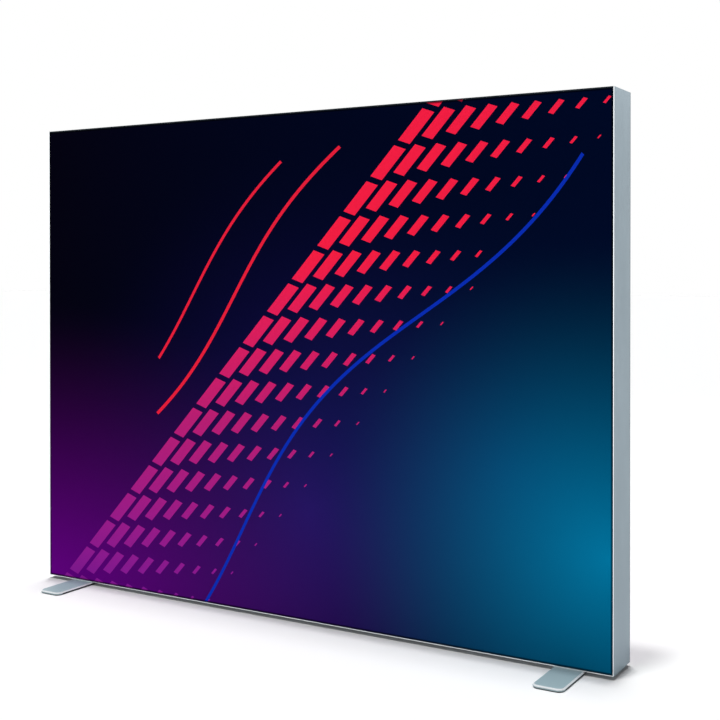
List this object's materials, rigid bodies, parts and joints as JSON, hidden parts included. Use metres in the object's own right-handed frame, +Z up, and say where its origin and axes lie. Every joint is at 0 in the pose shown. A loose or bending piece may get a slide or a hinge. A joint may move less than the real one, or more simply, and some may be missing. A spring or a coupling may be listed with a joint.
{
  "type": "lightbox display wall",
  "caption": "Free-standing double-sided fabric lightbox wall: deep aluminium frame, stretched printed fabric on both faces, light bars inside, swivelling foot plates.",
  "frame": {"origin": "on the floor, under the middle of the wall", "axes": "+X along the wall, towards the post without the mains inlet; +Y from the front print to the rear one; +Z up"},
  "size_m": [3.0045, 0.634, 2.2646],
  "materials": {
    "frame_aluminium": "satin anodised",
    "connector_steel": "bare",
    "bar_aluminium": "bare extruded",
    "foot_metal": "satin silver-grey powder coat",
    "zinc_steel": "bright zinc",
    "lens_plastic": "clear, moulded",
    "black_plastic": "moulded, fine grain",
    "white_plastic": "moulded",
    "switch_plastic": "gloss",
    "board_laminate": "solder-masked board",
    "contact_brass": "bright",
    "fuse_glass": "clear, with metal caps",
    "silicone": "matt translucent",
    "pad_rubber": "matt",
    "lead_sheath": "satin",
    "print_fabric": "knitted polyester, printed"
  },
  "bodies": {
    "frame": {"bottom_rail_left": "frame_aluminium", "corner_bracket_bottom_left": "connector_steel", "led_bar_bottom_left": "bar_aluminium", "led_lens_bottom_left": "lens_plastic", "bottom_rail_right": "frame_aluminium", "corner_bracket_bottom_right": "connector_steel", "led_bar_bottom_right": "bar_aluminium", "led_lens_bottom_right": "lens_plastic", "splice_bar_bottom": "connector_steel", "brace_shoe_bottom": "black_plastic", "led_link_bottom": "lead_sheath", "led_lead_bottom": "lead_sheath", "top_rail_left": "frame_aluminium", "corner_bracket_top_left": "connector_steel", "led_bar_top_left": "bar_aluminium", "led_lens_top_left": "lens_plastic", "top_rail_right": "frame_aluminium", "corner_bracket_top_right": "connector_steel", "led_bar_top_right": "bar_aluminium", "led_lens_top_right": "lens_plastic", "splice_bar_top": "connector_steel", "brace_shoe_top": "black_plastic", "led_link_top": "lead_sheath", "led_lead_top": "lead_sheath", "left_post": "frame_aluminium", "foot_bolt_left": "zinc_steel", "foot_washer_left": "white_plastic", "foot_nut_left": "zinc_steel", "right_post": "frame_aluminium", "foot_bolt_right": "zinc_steel", "foot_washer_right": "white_plastic", "foot_nut_right": "zinc_steel", "centre_brace": "frame_aluminium", "driver_plate": "connector_steel", "driver_case": "bar_aluminium", "driver_board": "board_laminate", "driver_cap_lower": "black_plastic", "driver_cap_upper": "black_plastic", "inlet_housing": "black_plastic", "inlet_boot": "pad_rubber", "inlet_pin_live": "contact_brass", "inlet_pin_neutral": "contact_brass", "inlet_pin_earth": "contact_brass", "mains_lead": "lead_sheath", "lead_clip_lower": "white_plastic", "lead_clip_middle": "white_plastic", "lead_clip_upper": "white_plastic"},
    "foot_left": {"foot_left": "foot_metal", "foot_pad_left_front": "pad_rubber", "foot_pad_left_rear": "pad_rubber"},
    "foot_right": {"foot_right": "foot_metal", "foot_pad_right_front": "pad_rubber", "foot_pad_right_rear": "pad_rubber"},
    "front_print": {"front_print": "print_fabric", "front_silicone_edge": "silicone"},
    "rear_print": {"rear_print": "print_fabric", "rear_silicone_edge": "silicone"},
    "switch": {"rocker_switch": "switch_plastic"},
    "drawer": {"fuse_drawer": "black_plastic", "fuse": "fuse_glass"}
  },
  "joints": [
    {"name": "foot_left_swivel", "type": "hinge", "parent": "frame", "child": "foot_left", "pos_m": [-1.272, 0, 0.0033], "axis": [0, 0, 1], "range_deg": [-90, 90]},
    {"name": "foot_right_swivel", "type": "hinge", "parent": "frame", "child": "foot_right", "pos_m": [1.317, 0, 0.0033], "axis": [0, 0, 1], "range_deg": [-90, 90]},
    {"name": "front_print_pull", "type": "slide", "parent": "frame", "child": "front_print", "axis": [0, -1, 0], "range_m": [0, 0.15]},
    {"name": "rear_print_pull", "type": "slide", "parent": "frame", "child": "rear_print", "axis": [0, 1, 0], "range_m": [0, 0.15]},
    {"name": "switch_rock", "type": "hinge", "parent": "frame", "child": "switch", "pos_m": [-1.5003, 0, 0.18955], "axis": [0, 1, 0], "range_deg": [0, 20]},
    {"name": "fuse_drawer_pull", "type": "slide", "parent": "frame", "child": "drawer", "axis": [-1, 0, 0], "range_m": [0, 0.016]}
  ]
}
